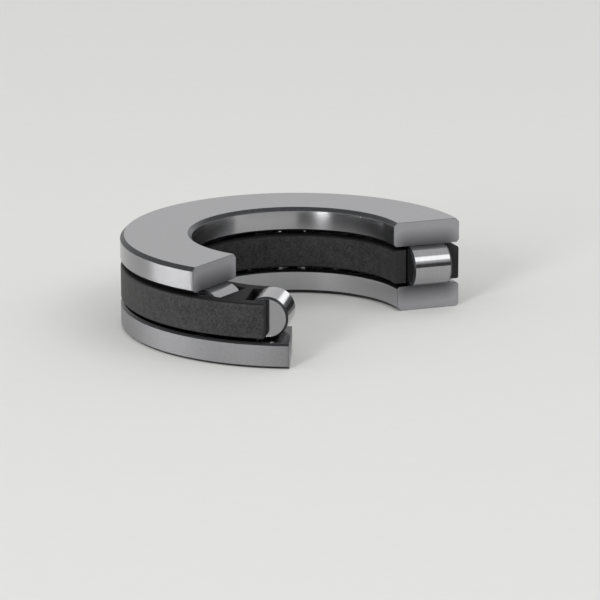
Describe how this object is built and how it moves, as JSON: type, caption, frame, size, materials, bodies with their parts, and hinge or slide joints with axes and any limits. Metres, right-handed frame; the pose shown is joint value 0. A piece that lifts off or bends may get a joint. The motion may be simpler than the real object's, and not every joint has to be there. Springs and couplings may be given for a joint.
{
  "type": "cylindrical roller thrust bearing",
  "caption": "Cut-away thrust bearing: two flat steel washers with a plastic cage of radial cylindrical rollers between them, a sector removed to show the inside.",
  "frame": {"origin": "on the bearing's axis at the underside of the housing washer", "axes": "+Z along the bearing's axis from the housing washer to the shaft washer; the common cut face of all three rings stands 12 degrees round from +X, and they go on from it counter-clockwise seen from above"},
  "size_m": [0.0415, 0.0417, 0.011],
  "materials": {
    "ground_steel": "finely ground, satin",
    "polished_steel": "superfinished, close to a mirror",
    "cage_polyamide": "moulded, finely mottled by glass fibre, matt"
  },
  "bodies": {
    "housing_washer": {"housing_washer": "ground_steel"},
    "shaft_washer": {"shaft_washer": "ground_steel"},
    "cage": {"cage": "cage_polyamide"},
    "roller_01": {"roller_01": "polished_steel"},
    "roller_02": {"roller_02": "polished_steel"},
    "roller_03": {"roller_03": "polished_steel"},
    "roller_04": {"roller_04": "polished_steel"},
    "roller_05": {"roller_05": "polished_steel"},
    "roller_06": {"roller_06": "polished_steel"},
    "roller_07": {"roller_07": "polished_steel"},
    "roller_08": {"roller_08": "polished_steel"},
    "roller_09": {"roller_09": "polished_steel"},
    "roller_10": {"roller_10": "polished_steel"},
    "roller_11": {"roller_11": "polished_steel"}
  },
  "joints": [
    {"name": "shaft_washer_spin", "type": "hinge", "parent": "housing_washer", "child": "shaft_washer", "pos_m": [0, 0, 0.0095], "axis": [0, 0, 1], "continuous": true},
    {"name": "cage_spin", "type": "hinge", "parent": "housing_washer", "child": "cage", "pos_m": [0, 0, 0.0055], "axis": [0, 0, 1], "continuous": true},
    {"name": "roller_01_spin", "type": "hinge", "parent": "cage", "child": "roller_01", "pos_m": [0.01634, 0.00347, 0.0055], "axis": [0.9781, 0.2079, 0], "continuous": true},
    {"name": "roller_02_spin", "type": "hinge", "parent": "cage", "child": "roller_02", "pos_m": [0.01351, 0.00982, 0.0055], "axis": [0.809, 0.5878, 0], "continuous": true},
    {"name": "roller_03_spin", "type": "hinge", "parent": "cage", "child": "roller_03", "pos_m": [0.00835, 0.01446, 0.0055], "axis": [0.5, 0.866, 0], "continuous": true},
    {"name": "roller_04_spin", "type": "hinge", "parent": "cage", "child": "roller_04", "pos_m": [0.00175, 0.01661, 0.0055], "axis": [0.1045, 0.9945, 0], "continuous": true},
    {"name": "roller_05_spin", "type": "hinge", "parent": "cage", "child": "roller_05", "pos_m": [-0.00516, 0.01588, 0.0055], "axis": [-0.309, 0.9511, 0], "continuous": true},
    {"name": "roller_06_spin", "type": "hinge", "parent": "cage", "child": "roller_06", "pos_m": [-0.01117, 0.01241, 0.0055], "axis": [-0.6691, 0.7431, 0], "continuous": true},
    {"name": "roller_07_spin", "type": "hinge", "parent": "cage", "child": "roller_07", "pos_m": [-0.01526, 0.00679, 0.0055], "axis": [-0.9135, 0.4067, 0], "continuous": true},
    {"name": "roller_08_spin", "type": "hinge", "parent": "cage", "child": "roller_08", "pos_m": [-0.0167, 0, 0.0055], "axis": [-1, 0, 0], "continuous": true},
    {"name": "roller_09_spin", "type": "hinge", "parent": "cage", "child": "roller_09", "pos_m": [-0.01526, -0.00679, 0.0055], "axis": [-0.9135, -0.4067, 0], "continuous": true},
    {"name": "roller_10_spin", "type": "hinge", "parent": "cage", "child": "roller_10", "pos_m": [-0.01117, -0.01241, 0.0055], "axis": [-0.6691, -0.7431, 0], "continuous": true},
    {"name": "roller_11_spin", "type": "hinge", "parent": "cage", "child": "roller_11", "pos_m": [-0.00516, -0.01588, 0.0055], "axis": [-0.309, -0.9511, 0], "continuous": true}
  ],
  "couplings": [
    {"joint": "cage_spin", "follows": "shaft_washer_spin", "ratio": 0.5},
    {"joint": "roller_01_spin", "follows": "shaft_washer_spin", "ratio": -3.3737},
    {"joint": "roller_02_spin", "follows": "shaft_washer_spin", "ratio": -3.3737},
    {"joint": "roller_03_spin", "follows": "shaft_washer_spin", "ratio": -3.3737},
    {"joint": "roller_04_spin", "follows": "shaft_washer_spin", "ratio": -3.3737},
    {"joint": "roller_05_spin", "follows": "shaft_washer_spin", "ratio": -3.3737},
    {"joint": "roller_06_spin", "follows": "shaft_washer_spin", "ratio": -3.3737},
    {"joint": "roller_07_spin", "follows": "shaft_washer_spin", "ratio": -3.3737},
    {"joint": "roller_08_spin", "follows": "shaft_washer_spin", "ratio": -3.3737},
    {"joint": "roller_09_spin", "follows": "shaft_washer_spin", "ratio": -3.3737},
    {"joint": "roller_10_spin", "follows": "shaft_washer_spin", "ratio": -3.3737},
    {"joint": "roller_11_spin", "follows": "shaft_washer_spin", "ratio": -3.3737}
  ]
}
